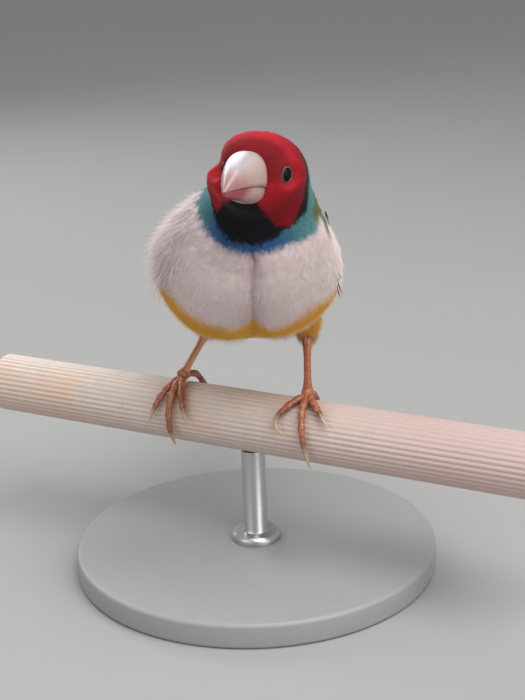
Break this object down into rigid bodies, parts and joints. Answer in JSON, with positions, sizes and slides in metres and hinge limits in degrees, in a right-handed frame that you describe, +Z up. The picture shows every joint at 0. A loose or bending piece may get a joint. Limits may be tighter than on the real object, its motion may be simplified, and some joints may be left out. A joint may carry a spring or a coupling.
{
  "type": "gouldian finch figure on a perch",
  "caption": "Life-size still gouldian finch, red-headed male, gripping a short fluted perch on a plain round stand.",
  "frame": {"origin": "centre of the underside of the stand's base, on the floor", "axes": "+Z up; the bird faces -Y and its tail points towards +Y; its left side is towards +X"},
  "size_m": [0.111, 0.1263, 0.09],
  "materials": {
    "head_feathers": "soft short red feathers with a black edge and bib",
    "collar_feathers": "soft turquoise feathers",
    "body_feathers": "soft lilac-white breast, yellow belly and green back",
    "wing_feathers": "smooth overlapping green and brown feathers",
    "tail_feathers": "smooth black feathers",
    "thigh_feathers": "soft yellow feathers",
    "eye": "wet gloss",
    "bill": "pearly horn with a pink tip",
    "leg_skin": "scaled orange-pink skin",
    "claw": "pale horn",
    "perch": "pale fluted plastic",
    "stand_paint": "satin grey",
    "stand_steel": "brushed"
  },
  "bodies": {
    "root": {"claw_left_hallux": "claw", "claw_left_inner": "claw", "claw_left_middle": "claw", "claw_left_outer": "claw", "claw_right_hallux": "claw", "claw_right_inner": "claw", "claw_right_middle": "claw", "claw_right_outer": "claw", "eye_left": "eye", "eye_right": "eye", "foot_left": "leg_skin", "foot_right": "leg_skin", "head": "head_feathers", "lower_bill": "bill", "neck": "collar_feathers", "perch": "perch", "shank_left": "leg_skin", "shank_right": "leg_skin", "stand_base": "stand_paint", "stand_rod": "stand_steel", "tail": "tail_feathers", "thigh_left": "thigh_feathers", "thigh_right": "thigh_feathers", "torso": "body_feathers", "upper_bill": "bill", "wing_left": "wing_feathers", "wing_right": "wing_feathers"}
  },
  "joints": []
}
